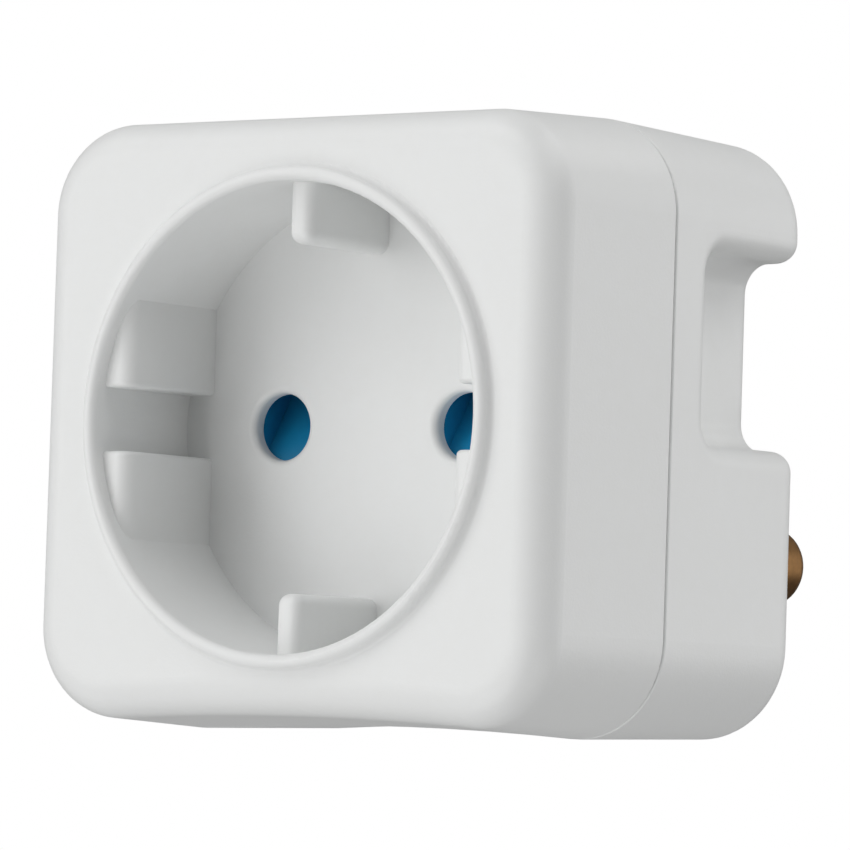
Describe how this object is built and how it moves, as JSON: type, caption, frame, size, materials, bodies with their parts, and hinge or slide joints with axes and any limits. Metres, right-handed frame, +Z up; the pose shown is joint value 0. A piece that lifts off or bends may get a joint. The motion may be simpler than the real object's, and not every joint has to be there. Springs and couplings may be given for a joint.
{
  "type": "plug adapter",
  "caption": "Boxy white travel adapter: round recessed socket with a blue sliding safety shutter in front, round brass plug pins and a plastic shutter-opening pin behind.",
  "frame": {"origin": "middle of the flat rear face that meets the wall outlet", "axes": "+Y into the wall along the plug pins, +Z up, +X to the right seen from the socket side"},
  "size_m": [0.0554, 0.0643, 0.0514],
  "materials": {
    "casing_white": "satin with a fine moulded grain",
    "shutter_blue": "smooth moulded",
    "carrier_ivory": "heat-resistant moulded",
    "tray_grey": "smooth moulded",
    "opening_pin_white": "satin moulded",
    "pin_brass": "turned",
    "contact_brass": "stamped strip",
    "spring_steel": "drawn wire and strip",
    "screw_steel": "zinc plated"
  },
  "bodies": {
    "casing": {"front_cover": "casing_white", "rear_shell": "casing_white", "contact_carrier": "carrier_ivory", "shutter_tray": "tray_grey", "shutter_spring": "spring_steel", "shutter_opening_pin": "opening_pin_white", "plug_pin_left": "pin_brass", "plug_pin_right": "pin_brass", "pin_screw_left": "screw_steel", "pin_screw_right": "screw_steel", "pin_washer_left": "screw_steel", "pin_washer_right": "screw_steel", "socket_contact_left": "contact_brass", "socket_contact_right": "contact_brass", "contact_clip_left": "spring_steel", "contact_clip_right": "spring_steel", "carrier_screw_left": "screw_steel", "carrier_screw_right": "screw_steel", "housing_screw_lower_left": "screw_steel", "housing_screw_lower_right": "screw_steel", "housing_screw_upper_left": "screw_steel", "housing_screw_upper_right": "screw_steel"},
    "shutter": {"shutter": "shutter_blue"}
  },
  "joints": [
    {"name": "shutter_slide", "type": "slide", "parent": "casing", "child": "shutter", "axis": [0, 0, -1], "range_m": [0, 0.0063], "stiffness_N_per_m": 80, "springref_m": -0.004, "deforming": ["shutter_spring"]}
  ]
}
